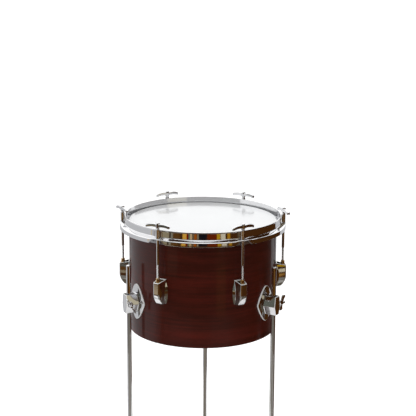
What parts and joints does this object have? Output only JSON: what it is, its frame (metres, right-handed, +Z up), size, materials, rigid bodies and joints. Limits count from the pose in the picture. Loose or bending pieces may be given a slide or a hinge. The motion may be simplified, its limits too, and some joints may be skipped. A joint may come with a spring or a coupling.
{
  "type": "floor-standing drum",
  "caption": "Single-headed drum with a dark mahogany shell and a chromed hoop, tuned by T-handle rods and standing on height-adjustable legs.",
  "frame": {"origin": "on the floor, under the middle of the drum's box, 6 mm behind the drum's axis", "axes": "+Z up along the drum's axis, -Y towards the front (the side that the picture shows), +X to the viewer's right"},
  "size_m": [0.3565, 0.3526, 0.5855],
  "materials": {
    "mahogany_lacquer": "clear satin-gloss lacquer over dark red-brown stained wood",
    "white_film": "smooth white film with a soft gloss",
    "satin_aluminium": "satin",
    "chrome": "polished chrome plate",
    "brass": "machined",
    "zinc_plated_steel": "dull zinc plate",
    "black_rubber": "matte"
  },
  "bodies": {
    "drum": {"shell": "mahogany_lacquer", "drumhead": "white_film", "flesh_hoop": "satin_aluminium", "counter_hoop": "chrome", "lug_1": "chrome", "lug_2": "chrome", "lug_3": "chrome", "lug_4": "chrome", "lug_5": "chrome", "lug_6": "chrome", "swivel_nut_1": "brass", "swivel_nut_2": "brass", "swivel_nut_3": "brass", "swivel_nut_4": "brass", "swivel_nut_5": "brass", "swivel_nut_6": "brass", "leg_bracket_1": "chrome", "leg_bracket_2": "chrome", "leg_bracket_3": "chrome", "lug_screw_1_upper": "zinc_plated_steel", "lug_screw_1_lower": "zinc_plated_steel", "lug_screw_2_upper": "zinc_plated_steel", "lug_screw_2_lower": "zinc_plated_steel", "lug_screw_3_upper": "zinc_plated_steel", "lug_screw_3_lower": "zinc_plated_steel", "lug_screw_4_upper": "zinc_plated_steel", "lug_screw_4_lower": "zinc_plated_steel", "lug_screw_5_upper": "zinc_plated_steel", "lug_screw_5_lower": "zinc_plated_steel", "lug_screw_6_upper": "zinc_plated_steel", "lug_screw_6_lower": "zinc_plated_steel", "bracket_screw_1_upper": "zinc_plated_steel", "bracket_screw_1_lower": "zinc_plated_steel", "bracket_screw_2_upper": "zinc_plated_steel", "bracket_screw_2_lower": "zinc_plated_steel", "bracket_screw_3_upper": "zinc_plated_steel", "bracket_screw_3_lower": "zinc_plated_steel"},
    "rod_1": {"tension_rod_1": "chrome", "t_handle_1": "chrome"},
    "rod_2": {"tension_rod_2": "chrome", "t_handle_2": "chrome"},
    "rod_3": {"tension_rod_3": "chrome", "t_handle_3": "chrome"},
    "rod_4": {"tension_rod_4": "chrome", "t_handle_4": "chrome"},
    "rod_5": {"tension_rod_5": "chrome", "t_handle_5": "chrome"},
    "rod_6": {"tension_rod_6": "chrome", "t_handle_6": "chrome"},
    "leg_unit_1": {"leg_1": "chrome", "rubber_foot_1": "black_rubber"},
    "clamp_1": {"wing_bolt_1": "chrome"},
    "leg_unit_2": {"leg_2": "chrome", "rubber_foot_2": "black_rubber"},
    "clamp_2": {"wing_bolt_2": "chrome"},
    "leg_unit_3": {"leg_3": "chrome", "rubber_foot_3": "black_rubber"},
    "clamp_3": {"wing_bolt_3": "chrome"}
  },
  "joints": [
    {"name": "tuning_rod_1_turn", "type": "hinge", "parent": "drum", "child": "rod_1", "pos_m": [0.1645, -0.0069, 0.57], "axis": [0, 0, 1], "range_deg": [-360, 1080]},
    {"name": "tuning_rod_2_turn", "type": "hinge", "parent": "drum", "child": "rod_2", "pos_m": [0.08225, 0.13556, 0.57], "axis": [0, 0, 1], "range_deg": [-360, 1080]},
    {"name": "tuning_rod_3_turn", "type": "hinge", "parent": "drum", "child": "rod_3", "pos_m": [-0.08225, 0.13556, 0.57], "axis": [0, 0, 1], "range_deg": [-360, 1080]},
    {"name": "tuning_rod_4_turn", "type": "hinge", "parent": "drum", "child": "rod_4", "pos_m": [-0.1645, -0.0069, 0.57], "axis": [0, 0, 1], "range_deg": [-360, 1080]},
    {"name": "tuning_rod_5_turn", "type": "hinge", "parent": "drum", "child": "rod_5", "pos_m": [-0.08225, -0.14936, 0.57], "axis": [0, 0, 1], "range_deg": [-360, 1080]},
    {"name": "tuning_rod_6_turn", "type": "hinge", "parent": "drum", "child": "rod_6", "pos_m": [0.08225, -0.14936, 0.57], "axis": [0, 0, 1], "range_deg": [-360, 1080]},
    {"name": "leg_1_slide", "type": "slide", "parent": "drum", "child": "leg_unit_1", "axis": [0, 0, 1], "range_m": [-0.05, 0.055]},
    {"name": "wing_bolt_1_turn", "type": "hinge", "parent": "drum", "child": "clamp_1", "pos_m": [0, 0.1633, 0.4055], "axis": [-0.9659, 0.2588, 0], "range_deg": [-45, 720]},
    {"name": "leg_2_slide", "type": "slide", "parent": "drum", "child": "leg_unit_2", "axis": [0, 0, 1], "range_m": [-0.05, 0.055]},
    {"name": "wing_bolt_2_turn", "type": "hinge", "parent": "drum", "child": "clamp_2", "pos_m": [-0.14465, -0.09659, 0.4055], "axis": [0.289, -0.9573, 0], "range_deg": [-45, 720]},
    {"name": "leg_3_slide", "type": "slide", "parent": "drum", "child": "leg_unit_3", "axis": [0, 0, 1], "range_m": [-0.05, 0.055]},
    {"name": "wing_bolt_3_turn", "type": "hinge", "parent": "drum", "child": "clamp_3", "pos_m": [0.14465, -0.09659, 0.4055], "axis": [0.729, 0.6845, 0], "range_deg": [-45, 720]}
  ]
}
